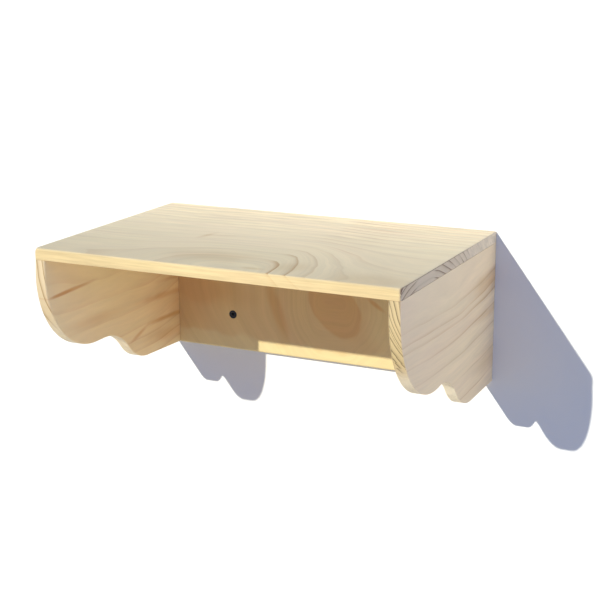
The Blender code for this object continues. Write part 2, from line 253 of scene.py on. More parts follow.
def linear(hex_colour):
    """An sRGB hex colour as linear red, green and blue, by the curve of the sRGB standard."""
    channels = [int(hex_colour[i:i + 2], 16) / 255 for i in (1, 3, 5)]
    return [c / 12.92 if c <= 0.04045 else ((c + 0.055) / 1.055) ** 2.4 for c in channels]


def add(tree, kind, settings, inputs):
    """Add a node with its settings, and give each named input a value or a link. A node given as an input
    stands for its first output."""
    node = tree.nodes.new(kind)
    for name, value in settings.items():
        setattr(node, name, value)
    for name, value in inputs.items():
        if isinstance(value, bpy.types.Node):
            value = value.outputs[0]
        if isinstance(value, bpy.types.NodeSocket):
            tree.links.new(value, node.inputs[name])
        else:
            node.inputs[name].default_value = value
    return node


def charted(tree, value, points):
    """A value read off a chart of (input, output) points, level beyond its ends."""
    inputs = [given for given, _ in points]
    outputs = [result for _, result in points]
    left, right = min(inputs), max(inputs)
    bottom, top = min(outputs), max(outputs)
    height = (top - bottom) or 1.0
    progress = add(tree, "ShaderNodeMapRange", {}, {"Value": value, "From Min": left, "From Max": right})
    curve = add(tree, "ShaderNodeFloatCurve", {}, {"Value": progress})
    line = curve.mapping.curves[0]
    while len(line.points) < len(points):
        line.points.new(0.5, 0.5)
    for knot, (given, result) in zip(line.points, sorted(points)):
        knot.location = ((given - left) / (right - left), (result - bottom) / height)
        knot.handle_type = "AUTO_CLAMPED" if len(points) > 2 else "VECTOR"
    curve.mapping.update()
    return add(tree, "ShaderNodeMath", {"operation": "MULTIPLY_ADD"}, {0: curve, 1: height, 2: bottom})


def new_material(name):
    """An empty material and its node tree."""
    material = bpy.data.materials.new(name)
    material.use_nodes = True
    material.node_tree.nodes.clear()
    return material, material.node_tree


def place_in_mm(tree):
    """The place on a piece in mm, in its own frame."""
    coordinates = add(tree, "ShaderNodeTexCoord", {}, {})
    return add(tree, "ShaderNodeVectorMath", {"operation": "SCALE"},
               {0: coordinates.outputs["Object"], "Scale": MM_PER_M})


def grain_scale(pattern):
    """A mapping's scale, which brings a pattern's size along and across the grain to one."""
    along, across = pattern
    return 1 / along, 1 / across, 1 / across


def board_place(tree, axes):
    """Where a spot lies on a board, in mm along its grain, across its width and through its thickness, and
    masks from 0 to 1 of which way it faces."""
    split = add(tree, "ShaderNodeSeparateXYZ", {}, {0: place_in_mm(tree)})
    coordinates = add(tree, "ShaderNodeTexCoord", {}, {})
    facing = add(tree, "ShaderNodeSeparateXYZ", {}, {0: coordinates.outputs["Normal"]})
    spot = {name: split.outputs[axis] for name, axis in zip(("along", "across", "through"), axes)}
    spot["log"] = add(tree, "ShaderNodeCombineXYZ", {},
                      {0: spot["along"], 1: spot["across"], 2: spot["through"]})
    spot["out"] = split.outputs["Y"]
    spot["up"] = facing.outputs["Z"]
    turned = {}
    for side, axis in zip(("end", "edge", "face"), axes):
        turned[side] = add(tree, "ShaderNodeMath", {"operation": "ABSOLUTE"}, {0: facing.outputs[axis]})
    for side in ("end", "edge"):
        spot[side] = add(tree, "ShaderNodeMapRange", {"interpolation_type": "SMOOTHSTEP"},
                         {"Value": turned[side], "From Min": 0.45, "From Max": 0.95})
    # The rim is the whole sawn outline, and an arris is a corner between it and a face
    spot["rim"] = add(tree, "ShaderNodeMapRange", {"interpolation_type": "SMOOTHSTEP"},
                      {"Value": turned["face"], "From Min": 0.3, "From Max": 0.8,
                       "To Min": 1.0, "To Max": 0.0})
    spot["arris"] = charted(tree, turned["face"], ((0.0, 0.0), (0.15, 1.0), (0.85, 1.0), (1.0, 0.0)))
    return spot


def pith_radius(tree, figure, spot):
    """Distance in mm from the pith, with a slow wander so that no ring is a true circle."""
    swell = add(tree, "ShaderNodeMapping", {},
                {0: spot["log"], "Location": (figure["seed"],) * 3, "Scale": grain_scale(SWELLS)})
    wander = add(tree, "ShaderNodeTexNoise", {},
                 {"Vector": swell, "Scale": 1.0, "Detail": 2.0, "Roughness": 0.45})
    drift = add(tree, "ShaderNodeSeparateXYZ", {}, {0: wander.outputs["Color"]})
    pith = {}
    moved = {}
    for i, side in enumerate(("across", "through")):
        pith[side] = charted(tree, spot["along"], figure[side])
        moved[side] = add(tree, "ShaderNodeMath", {"operation": "MULTIPLY_ADD"},
                          {0: drift.outputs[i], 1: figure["wander"], 2: spot[side]})
    if "settle" in figure:
        settle = figure["settle"]
        off_across = add(tree, "ShaderNodeMath", {"operation": "SUBTRACT"},
                         {0: moved["across"], 1: pith["across"]})
        away = add(tree, "ShaderNodeMapRange", {"interpolation_type": "SMOOTHSTEP"},
                   {"Value": off_across, "From Min": settle["from"], "From Max": settle["to"],
                    "To Max": settle["share"]})
        pith["through"] = add(tree, "ShaderNodeMix", {},
                              {0: away, NUMBER_A: pith["through"], NUMBER_B: settle["level"]})
    squeeze = figure["squeeze"]
    if "end_log" in figure:
        end_log = figure["end_log"]
        for side in pith:
            pith[side] = add(tree, "ShaderNodeMix", {},
                             {0: spot["end"], NUMBER_A: pith[side], NUMBER_B: end_log[side]})
        squeeze = add(tree, "ShaderNodeMix", {},
                      {0: spot["end"], NUMBER_A: squeeze, NUMBER_B: end_log["squeeze"]})
    off = {}
    for side in pith:
        off[side] = add(tree, "ShaderNodeMath", {"operation": "SUBTRACT"}, {0: moved[side], 1: pith[side]})
    squeezed = add(tree, "ShaderNodeMath", {"operation": "MULTIPLY"}, {0: off["across"], 1: squeeze})
    spoke = add(tree, "ShaderNodeCombineXYZ", {}, {0: squeezed, 1: off["through"]})
    return add(tree, "ShaderNodeVectorMath", {"operation": "LENGTH"}, {0: spoke}).outputs["Value"]


def summer_wood(tree, figure, spot, radius):
    """How much summer wood shows, from 0 to 1. Each year darkens slowly and ends sharply, and its ring
    fades in and out along its length."""
    years = charted(tree, radius, figure["years"])
    per_year = add(tree, "ShaderNodeMix", {},
                   {0: spot["end"], NUMBER_A: 1.0, NUMBER_B: figure["end_rings"]})
    years = add(tree, "ShaderNodeMath", {"operation": "MULTIPLY"}, {0: years, 1: per_year})
    season = add(tree, "ShaderNodeMath", {"operation": "FRACT"}, {0: years})
    band = charted(tree, season, SEASON)
    patch_length, patch_width = FADED_PATCHES
    along = add(tree, "ShaderNodeMath", {"operation": "MULTIPLY"}, {0: spot["along"], 1: 1 / patch_length})
    outward = add(tree, "ShaderNodeMath", {"operation": "MULTIPLY"}, {0: radius, 1: 1 / patch_width})
    where = add(tree, "ShaderNodeCombineXYZ", {}, {0: along, 1: outward, 2: figure["seed"]})
    patches = add(tree, "ShaderNodeTexNoise", {}, {"Vector": where, "Scale": 1.0, "Detail": 1.0})
    fade = add(tree, "ShaderNodeMapRange", {},
               {"Value": patches, "From Min": 0.3, "From Max": 0.65, "To Min": 0.35})
    shown = add(tree, "ShaderNodeMath", {"operation": "MULTIPLY"},
                {0: charted(tree, radius, figure["depth"]), 1: fade})
    shown = add(tree, "ShaderNodeMath", {"operation": "MULTIPLY"},
                {0: shown, 1: charted(tree, spot["along"], figure["length"])})
    at_end = charted(tree, spot["across"], figure["end_depth"])
    shown = add(tree, "ShaderNodeMix", {}, {0: spot["end"], NUMBER_A: shown, NUMBER_B: at_end})
    return add(tree, "ShaderNodeMath", {"operation": "MULTIPLY"}, {0: band, 1: shown})


def along_rings(tree, spot, outward, pattern, seed):
    """Noise from 0 to 1 in streaks that follow the rings, twice as thick through the board as wide."""
    length, width = pattern
    along = add(tree, "ShaderNodeMath", {"operation": "MULTIPLY"}, {0: spot["along"], 1: 1 / length})
    outward = add(tree, "ShaderNodeMath", {"operation": "MULTIPLY"}, {0: outward, 1: 1 / width})
    through = add(tree, "ShaderNodeMath", {"operation": "MULTIPLY_ADD"},
                  {0: spot["through"], 1: 0.5 / width, 2: seed})
    where = add(tree, "ShaderNodeCombineXYZ", {}, {0: along, 1: outward, 2: through})
    return add(tree, "ShaderNodeTexNoise", {},
               {"Vector": where, "Scale": 1.0, "Detail": 3.0, "Roughness": 0.6})


def heartwood(tree, figure, spot):
    """How much darker heartwood, and on the back board painted shade, shows in the board's stains. They are
    fainter on its long edges.
    """
    wavy = add(tree, "ShaderNodeTexNoise", {},
               {"Vector": spot["log"], "Scale": 1 / STAIN_BENDS, "Detail": 1.0})
    outline = 1.0 + STAIN_WAVER / 2
    total = 0.0
    for along, across, half_length, half_width, tilt, strength, soft in figure["stains"]:
        local = add(tree, "ShaderNodeMapping", {"vector_type": "TEXTURE"},
                    {0: spot["log"], "Location": (along, across, 0.0),
                     "Rotation": (0.0, 0.0, radians(tilt)), "Scale": (half_length, half_width, FAR_MM)})
        distance = add(tree, "ShaderNodeVectorMath", {"operation": "LENGTH"}, {0: local}).outputs["Value"]
        distance = add(tree, "ShaderNodeMath", {"operation": "MULTIPLY_ADD"},
                       {0: wavy, 1: STAIN_WAVER, 2: distance})
        shade = add(tree, "ShaderNodeMapRange", {"interpolation_type": "SMOOTHSTEP"},
                    {"Value": distance, "From Min": outline - soft, "From Max": outline,
                     "To Min": strength, "To Max": 0.0})
        total = add(tree, "ShaderNodeMath", {"operation": "ADD"}, {0: shade, 1: total})
    fainter = add(tree, "ShaderNodeMapRange", {}, {"Value": spot["edge"], "To Min": 1.0, "To Max": 0.3})
    return add(tree, "ShaderNodeMath", {"operation": "MULTIPLY", "use_clamp": True}, {0: total, 1: fainter})


def resin_ducts(tree, spot, ring):
    """Resin ducts as short dashes along the grain, which show mostly in the summer wood."""
    # Ducts are 0.2 to 0.3 mm wide, drawn here about 0.5 mm wide and 4 mm long so that they show
    dashes = add(tree, "ShaderNodeMapping", {}, {0: spot["log"], "Scale": grain_scale(DUCT_SPACING)})
    duct = add(tree, "ShaderNodeTexVoronoi", {}, {"Vector": dashes, "Scale": 1.0})
    dash = add(tree, "ShaderNodeMapRange", {"interpolation_type": "SMOOTHSTEP"},
               {"Value": duct.outputs["Distance"], "From Min": 0.08, "From Max": 0.2,
                "To Min": 1.0, "To Max": 0.0})
    return add(tree, "ShaderNodeMath", {"operation": "MULTIPLY"}, {0: dash, 1: ring})


def ring_darkness(tree, figure, spot, wood, ring, bold):
    """How dark the rings show on faces, long edges and ends, with the ends' arrises drawn darker."""
    strength = add(tree, "ShaderNodeMapRange", {},
                   {"Value": spot["edge"], "To Min": wood.ring_contrast, "To Max": wood.edge_contrast})
    strength = add(tree, "ShaderNodeMath", {"operation": "MULTIPLY"}, {0: strength, 1: bold})
    strength = add(tree, "ShaderNodeMix", {},
                   {0: spot["end"], NUMBER_A: strength, NUMBER_B: wood.end_contrast})
    dark = add(tree, "ShaderNodeMath", {"operation": "MULTIPLY", "use_clamp": True}, {0: ring, 1: strength})
    # Darker along the arrises of the ends
    end_arris_dark = add(tree, "ShaderNodeMath", {"operation": "MULTIPLY"}, {0: spot["arris"], 1: spot["end"]})
    end_arris_dark = add(tree, "ShaderNodeMath", {"operation": "MULTIPLY"}, {0: end_arris_dark, 1: figure["end_arris_dark"]})
    return add(tree, "ShaderNodeMath", {"operation": "MAXIMUM"}, {0: end_arris_dark, 1: dark})


def grown_colour(tree, figure, spot, wood, dark):
    """Spring wood darkened to summer wood, then stained by heartwood and painted shade, and lightened on
    the sawn outline by painted bounce light.
    """
    spring = add(tree, "ShaderNodeMix", {"data_type": "RGBA"},
                 {0: spot["end"], COLOUR_A: (*wood.spring_wood, 1.0), COLOUR_B: (*wood.spring_end, 1.0)})
    summer = add(tree, "ShaderNodeMix", {"data_type": "RGBA"},
                 {0: spot["end"], COLOUR_A: (*wood.summer_wood, 1.0), COLOUR_B: (*wood.summer_end, 1.0)})
    grown = add(tree, "ShaderNodeMix", {"data_type": "RGBA"},
                {0: dark, COLOUR_A: spring.outputs[MIXED_COLOUR],
                 COLOUR_B: summer.outputs[MIXED_COLOUR]})
    stained = add(tree, "ShaderNodeMix", {"data_type": "RGBA", "blend_type": "MULTIPLY"},
                  {0: heartwood(tree, figure, spot), COLOUR_A: grown.outputs[MIXED_COLOUR],
                   COLOUR_B: (*wood.heart_and_shade_tint, 1.0)})
    # Painted bounce light: the sawn outline is drawn paler, low on the side boards and near the wall on the
    # top board's ends
    if "bounce_lit_rim" not in figure:
        return stained.outputs[MIXED_COLOUR]
    rim_bounce = charted(tree, spot["across"], figure["bounce_lit_rim"])
    rim_bounce = add(tree, "ShaderNodeMath", {"operation": "MULTIPLY"}, {0: rim_bounce, 1: spot["rim"]})
    pale = add(tree, "ShaderNodeMix", {"data_type": "RGBA"},
               {0: rim_bounce, COLOUR_A: stained.outputs[MIXED_COLOUR], COLOUR_B: (*wood.bounce_lit_rim, 1.0)})
    return pale.outputs[MIXED_COLOUR]


def brightness(tree, spot, wood, fibre, streak, bold, ducts):
    """Brightness around one, from resin ducts, and from fibres and streaks, boldest on long edges."""
    value = add(tree, "ShaderNodeMath", {"operation": "MULTIPLY_ADD"},
                {0: fibre, 1: wood.fibre_contrast, 2: -(wood.fibre_contrast + wood.streak_contrast) / 2})
    value = add(tree, "ShaderNodeMath", {"operation": "MULTIPLY_ADD"},
                {0: streak, 1: wood.streak_contrast, 2: value})
    mottle = add(tree, "ShaderNodeMapRange", {}, {"Value": spot["edge"], "To Min": 1.0, "To Max": 2.2})
    value = add(tree, "ShaderNodeMath", {"operation": "MULTIPLY"}, {0: value, 1: mottle})
    value = add(tree, "ShaderNodeMath", {"operation": "MULTIPLY_ADD"}, {0: value, 1: bold, 2: 1.0})
    return add(tree, "ShaderNodeMath", {"operation": "MULTIPLY_ADD"},
               {0: ducts, 1: -wood.duct_contrast, 2: value})


def painted_top_sheen(tree, colour, spot, tint):
    """Painted sheen: the top face is left paler and bluer than the others, most of all near the wall."""
    up = add(tree, "ShaderNodeMapRange", {}, {"Value": spot["up"], "From Min": 0.5, "From Max": 0.9})
    fade = add(tree, "ShaderNodeMapRange", {},
               {"Value": spot["out"], "From Min": CAD_BOX[0].y * MM_PER_M, "From Max": 0.0, "To Min": 0.35})
    sheen_mask = add(tree, "ShaderNodeMath", {"operation": "MULTIPLY"}, {0: up, 1: fade})
    warm = add(tree, "ShaderNodeMath", {"operation": "SUBTRACT"}, {0: 1.0, 1: sheen_mask})
    tinted = add(tree, "ShaderNodeMix", {"data_type": "RGBA", "blend_type": "MULTIPLY"},
                 {0: warm, COLOUR_A: colour, COLOUR_B: (*tint, 1.0)})
    return tinted.outputs[MIXED_COLOUR]


def planed_pine(name, figure, wood):
    """Planed and lightly sanded pine, left bare: soft bands of pale spring wood and tan summer wood, fine
    fibre streaks and short resin ducts along the grain, and crisper, darker rings on the sawn ends."""
    material, tree = new_material(name)
    spot = board_place(tree, figure["axes"])
    radius = pith_radius(tree, figure, spot)
    ring = summer_wood(tree, figure, spot, radius)
    # On long edges the fibres run straight. Each pattern is shifted, so that none repeats another
    outward = add(tree, "ShaderNodeMix", {}, {0: spot["edge"], NUMBER_A: radius, NUMBER_B: spot["through"]})
    fibre = along_rings(tree, spot, outward, FIBRES, figure["seed"])
    streak = along_rings(tree, spot, outward, STREAKS, figure["seed"] + 5)
    tint = along_rings(tree, spot, outward, TINTS, figure["seed"] + 9)
    bold = charted(tree, spot["out"], figure["bold"])
    dark = ring_darkness(tree, figure, spot, wood, ring, bold)
    value = brightness(tree, spot, wood, fibre, streak, bold, resin_ducts(tree, spot, ring))
    # The hue drifts slowly from yellow to pink
    hue = add(tree, "ShaderNodeMath", {"operation": "MULTIPLY_ADD"},
              {0: tint, 1: wood.hue_drift, 2: SAME_HUE - wood.hue_drift / 2})
    colour = add(tree, "ShaderNodeHueSaturation", {},
                 {"Hue": hue, "Value": value, "Color": grown_colour(tree, figure, spot, wood, dark)})
    # Painted sheen: the top board's top face shows paler and bluer, most near the wall
    if "warm_tint" in wood.bl_rna.properties:
        colour = painted_top_sheen(tree, colour, spot, wood.warm_tint)
    # Summer wood is harder, so planing leaves it slightly proud
    relief = add(tree, "ShaderNodeMath", {"operation": "MULTIPLY_ADD"},
                 {0: ring, 1: SUMMER_RELIEF, 2: fibre})
    bump = add(tree, "ShaderNodeBump", {},
               {"Strength": 0.25, "Distance": FIBRE_RELIEF_MM / MM_PER_M, "Height": relief})
    rough = add(tree, "ShaderNodeMapRange", {},
                {"Value": fibre, "To Min": wood.roughness - ROUGHNESS_SPREAD,
                 "To Max": wood.roughness + ROUGHNESS_SPREAD})
    shader = add(tree, "ShaderNodeBsdfPrincipled", {},
                 {"Base Color": colour, "Roughness": rough, "IOR": 1.5, "Specular IOR Level": 0.35,
                  "Normal": bump})
    add(tree, "ShaderNodeOutputMaterial", {}, {"Surface": shader})
    return material


def turned_beech(name, settings):
    """Turned beech dowel rod: close pinkish tan grain with small darker flecks."""
    material, tree = new_material(name)
    flecks = add(tree, "ShaderNodeTexNoise", {},
                 {"Vector": place_in_mm(tree), "Scale": 1 / BEECH_FLECKS_MM, "Detail": 2.0})
    amount = add(tree, "ShaderNodeMapRange", {"interpolation_type": "SMOOTHSTEP"},
                 {"Value": flecks, "From Min": 0.5, "From Max": 0.68})
    colour = add(tree, "ShaderNodeMix", {"data_type": "RGBA"},
                 {0: amount, COLOUR_A: (*settings.colour, 1.0), COLOUR_B: (*settings.fleck_colour, 1.0)})
    shader = add(tree, "ShaderNodeBsdfPrincipled", {},
                 {"Base Color": colour.outputs[MIXED_COLOUR], "Roughness": 0.6, "IOR": 1.5})
    add(tree, "ShaderNodeOutputMaterial", {}, {"Surface": shader})
    return material


def blackened_steel(name, settings):
    """Phosphated steel screw, oiled: nearly black with a soft blue-grey glint and worn, greyer patches."""
    material, tree = new_material(name)
    crystals = add(tree, "ShaderNodeTexNoise", {},
                   {"Vector": place_in_mm(tree), "Scale": 1 / COATING_CRYSTALS_MM, "Detail": 4.0})
    colour = add(tree, "ShaderNodeMix", {"data_type": "RGBA"},
                 {0: crystals, COLOUR_A: (*settings.colour, 1.0), COLOUR_B: (*settings.worn_colour, 1.0)})
    rough = add(tree, "ShaderNodeMapRange", {}, {"Value": crystals, "To Min": 0.28, "To Max": 0.5})
    bump = add(tree, "ShaderNodeBump", {},
               {"Strength": 0.15, "Distance": COATING_RELIEF_MM / MM_PER_M, "Height": crystals})
    shader = add(tree, "ShaderNodeBsdfPrincipled", {},
                 {"Base Color": colour.outputs[MIXED_COLOUR], "Metallic": 0.85, "Roughness": rough,
                  "Normal": bump})
    add(tree, "ShaderNodeOutputMaterial", {}, {"Surface": shader})
    return material


def rolled_paint(name, colour):
    """Matt emulsion, rolled on: plain and pale, with faint roller stipple. It is clear from behind, as a
    backdrop that stands in for one side of a wall or floor."""
    material, tree = new_material(name)
    stipple = add(tree, "ShaderNodeTexNoise", {},
                  {"Vector": place_in_mm(tree), "Scale": 1 / ROLLER_STIPPLE_MM})
    bump = add(tree, "ShaderNodeBump", {},
               {"Strength": 0.05, "Distance": STIPPLE_RELIEF_MM / MM_PER_M, "Height": stipple})
    paint = add(tree, "ShaderNodeBsdfDiffuse", {}, {"Color": (*colour, 1.0), "Normal": bump})
    clear = add(tree, "ShaderNodeBsdfTransparent", {}, {})
    geometry = add(tree, "ShaderNodeNewGeometry", {}, {})
    sided = add(tree, "ShaderNodeMixShader", {}, {0: geometry.outputs["Backfacing"], 1: paint, 2: clear})
    add(tree, "ShaderNodeOutputMaterial", {}, {"Surface": sided})
    return material


def finish_node(node_name, material):
    """Put a finish on a CAD node, with its flats kept flat across the eased edges."""
    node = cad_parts[node_name]
    for slot in node.material_slots:
        slot.material = material
    even = node.modifiers.new("even_normals", "WEIGHTED_NORMAL")
    even.keep_sharp = True


def backdrop(name, columns, rows, place, facing, material, hole=None):
    """A flat backdrop of rectangles between columns and rows, with the one at hole left out."""
    points = [place(column, row) for row in rows for column in columns]
    wide = len(columns)
    faces = []
    for j in range(len(rows) - 1):
        for i in range(wide - 1):
            if (i, j) != hole:
                first = j * wide + i
                faces.append((first, first + 1, first + wide + 1, first + wide))
    mesh = bpy.data.meshes.new(name)
    mesh.from_pydata(points, [], faces)
    mesh.update()
    if mesh.polygons[0].normal.dot(Vector(facing)) < 0:
        mesh.flip_normals()
    mesh.materials.append(material)
    obj = bpy.data.objects.new(name, mesh)
    bpy.context.scene.collection.objects.link(obj)


def wall_and_floor(stage):
    """A painted wall, open behind the step so that its rear shows from behind, and a painted floor."""
    low, high = CAD_BOX
    reach = stage.wall_width / 2
    columns = (-reach, low.x + OPENING_MARGIN, high.x - OPENING_MARGIN, reach)
    rows = (-stage.floor_drop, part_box("back_board")[0].z + OPENING_MARGIN, high.z - OPENING_MARGIN,
            stage.wall_top)
    wall = rolled_paint("rolled_wall_paint", stage.wall_colour)
    backdrop("wall", columns, rows, lambda x, z: (x, WALL_GAP, z), (0, -1, 0), wall, hole=(1, 1))
    floor = rolled_paint("rolled_floor_paint", stage.floor_colour)
    sides = (-FLOOR_REACH, FLOOR_REACH)
    backdrop("floor", sides, sides, lambda x, y: (x, y, -stage.floor_drop), (0, 0, 1), floor)


def aimed(back, roll=0.0):
    """A rotation whose local Z is back, turned by roll about it from level."""
    across = Vector((0.0, 0.0, 1.0)).cross(back).normalized()
    upward = back.cross(across)
    level = Matrix((across, upward, back)).transposed()
    return level @ Matrix.Rotation(roll, 3, "Z")


def key_light(stage):
    """The hard light that throws the step's shadow on the wall."""
    light = bpy.data.objects.new("key_light", bpy.data.lights.new("key_light", "SUN"))
    light.data.energy = stage.key_strength
    light.data.color = stage.key_colour
    light.data.angle = stage.key_size
    light.rotation_euler = aimed(-Vector(KEY_HEADING).normalized()).to_euler()
    bpy.context.scene.collection.objects.link(light)


def soft_box(name, colour, strength, place):
    """A large soft box aimed at the step, which lights the step and not the wall or floor."""
    light = bpy.data.objects.new(name, bpy.data.lights.new(name, "AREA"))
    light.data.shape = "DISK"
    light.data.size = SOFT_BOX_SIZE
    light.data.color = colour
    light.data.energy = strength
    back = (Vector(place) - (CAD_BOX[0] + CAD_BOX[1]) / 2).normalized()
    light.matrix_world = Matrix.Translation(place) @ aimed(back).to_4x4()
    bpy.context.scene.collection.objects.link(light)
    lit = bpy.data.collections.new(name + "_receivers")
    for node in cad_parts.values():
        lit.objects.link(node)
    light.light_linking.receiver_collection = lit


def studio_fill(stage):
    """Soft light from all around, with a plain pale colour where the camera looks past the stage."""
    world = bpy.data.worlds.new("studio_fill")
    world.use_nodes = True
    tree = world.node_tree
    tree.nodes.clear()
    fill = add(tree, "ShaderNodeBackground", {},
               {"Color": (*stage.sky_colour, 1.0), "Strength": stage.sky_strength})
    seen = add(tree, "ShaderNodeBackground", {}, {"Color": BEYOND_STAGE, "Strength": 1.0})
    path = add(tree, "ShaderNodeLightPath", {}, {})
    either = add(tree, "ShaderNodeMixShader", {}, {0: path.outputs["Is Camera Ray"], 1: fill, 2: seen})
    add(tree, "ShaderNodeOutputWorld", {}, {"Surface": either})
    bpy.context.scene.world = world


def front_camera(stage):
    """A camera in front of the step, to its right and a little above it."""
    camera = bpy.data.objects.new("camera", bpy.data.cameras.new("camera"))
    azimuth, elevation = stage.camera_azimuth, stage.camera_elevation
    back = Vector((sin(azimuth) * cos(elevation), -cos(azimuth) * cos(elevation), sin(elevation)))
    spot = Vector(stage.camera_target) + back * stage.camera_distance
    camera.matrix_world = Matrix.Translation(spot) @ aimed(back, stage.camera_roll).to_4x4()
    camera.data.sensor_width = SENSOR_WIDTH_MM
    camera.data.lens = stage.lens
    bpy.context.scene.collection.objects.link(camera)
    bpy.context.scene.camera = camera


class BoardGrain:
    """How strongly each part of the grain shows, shared by the settings of every board."""
    ring_contrast: FloatProperty(
        name="Ring contrast", description="How strongly the rings show on the faces",
        default=0.65, min=0, max=1, subtype="FACTOR")
    edge_contrast: FloatProperty(
        name="Edge ring contrast", description="How strongly the rings show on long edges",
        default=0.15, min=0, max=1, subtype="FACTOR")
    end_contrast: FloatProperty(
        name="End ring contrast", description="How strongly the rings show on the ends",
        default=0.85, min=0, max=1, subtype="FACTOR")
    fibre_contrast: FloatProperty(
        name="Fibre contrast", description="How strongly the fine fibres show",
        default=0.14, min=0, max=1, subtype="FACTOR")
    streak_contrast: FloatProperty(
        name="Streak contrast", description="How strongly the broad streaks show",
        default=0.22, min=0, max=1, subtype="FACTOR")
    duct_contrast: FloatProperty(
        name="Duct contrast", description="How dark the resin ducts are",
        default=0.1, min=0, max=1, subtype="FACTOR")
    hue_drift: FloatProperty(
        name="Hue drift", description="How far the hue drifts from yellow to pink",
        default=0.02, min=0, max=0.2, subtype="FACTOR")
    roughness: FloatProperty(
        name="Roughness", description="Surface roughness of the planed face",
        default=0.6, min=0.1, max=1, subtype="FACTOR")
    heart_and_shade_tint: FloatVectorProperty(
        name="Heartwood tint", description="Tint of the stains of heartwood",
        default=linear("#DCC19B"), subtype="COLOR", min=0, max=1)


class TopBoardWood(BoardGrain, bpy.types.PropertyGroup):
    """Wood of the top board"""
    spring_wood: FloatVectorProperty(
        name="Spring wood", description="Pale wood between the rings",
        default=linear("#E7D2AD"), subtype="COLOR", min=0, max=1)
    summer_wood: FloatVectorProperty(
        name="Summer wood", description="Tan wood of the rings",
        default=linear("#C09565"), subtype="COLOR", min=0, max=1)
    spring_end: FloatVectorProperty(
        name="Spring wood at ends", description="Pale wood where the ends are sawn",
        default=linear("#D8C7B6"), subtype="COLOR", min=0, max=1)
    summer_end: FloatVectorProperty(
        name="Summer wood at ends", description="Ring colour where the ends are sawn",
        default=linear("#7C5C44"), subtype="COLOR", min=0, max=1)
    # Painted bounce light: the colour that the sawn outline is lightened towards
    bounce_lit_rim: FloatVectorProperty(
        name="Pale rim", description="Wood near the wall where the ends are sawn",
        default=linear("#E6D8C9"), subtype="COLOR", min=0, max=1)
    # Painted sheen: every face but the top one is tinted by this, so the top face shows paler
    warm_tint: FloatVectorProperty(
        name="Warm tint", description="Tint of the faces that daylight has not bleached",
        default=linear("#F4EBD2"), subtype="COLOR", min=0, max=1)
    ring_contrast: FloatProperty(
        name="Ring contrast", description="How strongly the rings show on the faces",
        default=0.85, min=0, max=1, subtype="FACTOR")
    end_contrast: FloatProperty(
        name="End ring contrast", description="How strongly the rings show on the ends",
        default=1.0, min=0, max=1, subtype="FACTOR")
    fibre_contrast: FloatProperty(
        name="Fibre contrast", description="How strongly the fine fibres show",
        default=0.2, min=0, max=1, subtype="FACTOR")


class LeftBoardWood(BoardGrain, bpy.types.PropertyGroup):
    """Wood of the left side board"""
    spring_wood: FloatVectorProperty(
        name="Spring wood", description="Pale wood between the rings",
        default=linear("#FCE4B1"), subtype="COLOR", min=0, max=1)
    summer_wood: FloatVectorProperty(
        name="Summer wood", description="Tan wood of the rings",
        default=linear("#D5A168"), subtype="COLOR", min=0, max=1)
    spring_end: FloatVectorProperty(
        name="Spring wood at ends", description="Pale wood where the ends are sawn",
        default=linear("#DEC59D"), subtype="COLOR", min=0, max=1)
    summer_end: FloatVectorProperty(
        name="Summer wood at ends", description="Ring colour where the ends are sawn",
        default=linear("#96703F"), subtype="COLOR", min=0, max=1)
    # Painted bounce light: the colour that the sawn outline is lightened towards
    bounce_lit_rim: FloatVectorProperty(
        name="Pale rim", description="Wood low on the sawn outline",
        default=linear("#EBDDC2"), subtype="COLOR", min=0, max=1)
    heart_and_shade_tint: FloatVectorProperty(
        name="Heartwood tint", description="Tint of the stains of heartwood",
        default=linear("#DDBCA0"), subtype="COLOR", min=0, max=1)


class RightBoardWood(BoardGrain, bpy.types.PropertyGroup):
    """Wood of the right side board"""
    spring_wood: FloatVectorProperty(
        name="Spring wood", description="Pale wood between the rings",
        default=linear("#E9CDA1"), subtype="COLOR", min=0, max=1)
    summer_wood: FloatVectorProperty(
        name="Summer wood", description="Tan wood of the rings",
        default=linear("#C2935F"), subtype="COLOR", min=0, max=1)
    spring_end: FloatVectorProperty(
        name="Spring wood at ends", description="Pale wood where the ends are sawn",
        default=linear("#D4BB8A"), subtype="COLOR", min=0, max=1)
    summer_end: FloatVectorProperty(
        name="Summer wood at ends", description="Ring colour where the ends are sawn",
        default=linear("#432D11"), subtype="COLOR", min=0, max=1)
    # Painted bounce light: the colour that the sawn outline is lightened towards
    bounce_lit_rim: FloatVectorProperty(
        name="Pale rim", description="Wood low on the sawn outline",
        default=linear("#EBDDC2"), subtype="COLOR", min=0, max=1)
    fibre_contrast: FloatProperty(
        name="Fibre contrast", description="How strongly the fine fibres show",
        default=0.2, min=0, max=1, subtype="FACTOR")


class BackBoardWood(BoardGrain, bpy.types.PropertyGroup):
    """Wood of the back board"""
    spring_wood: FloatVectorProperty(
        name="Spring wood", description="Pale wood between the rings",
        default=linear("#DFCA97"), subtype="COLOR", min=0, max=1)
    summer_wood: FloatVectorProperty(
        name="Summer wood", description="Tan wood of the rings",
        default=linear("#B38452"), subtype="COLOR", min=0, max=1)
    spring_end: FloatVectorProperty(
        name="Spring wood at ends", description="Pale wood where the ends are sawn",
        default=linear("#D5B68A"), subtype="COLOR", min=0, max=1)
    summer_end: FloatVectorProperty(
        name="Summer wood at ends", description="Ring colour where the ends are sawn",
        default=linear("#8F6939"), subtype="COLOR", min=0, max=1)
    # On the back board this tint also colours the painted shade above the low strip
    heart_and_shade_tint: FloatVectorProperty(
        name="Heartwood tint", description="Tint of the stains of heartwood",
        default=linear("#F3DCCE"), subtype="COLOR", min=0, max=1)


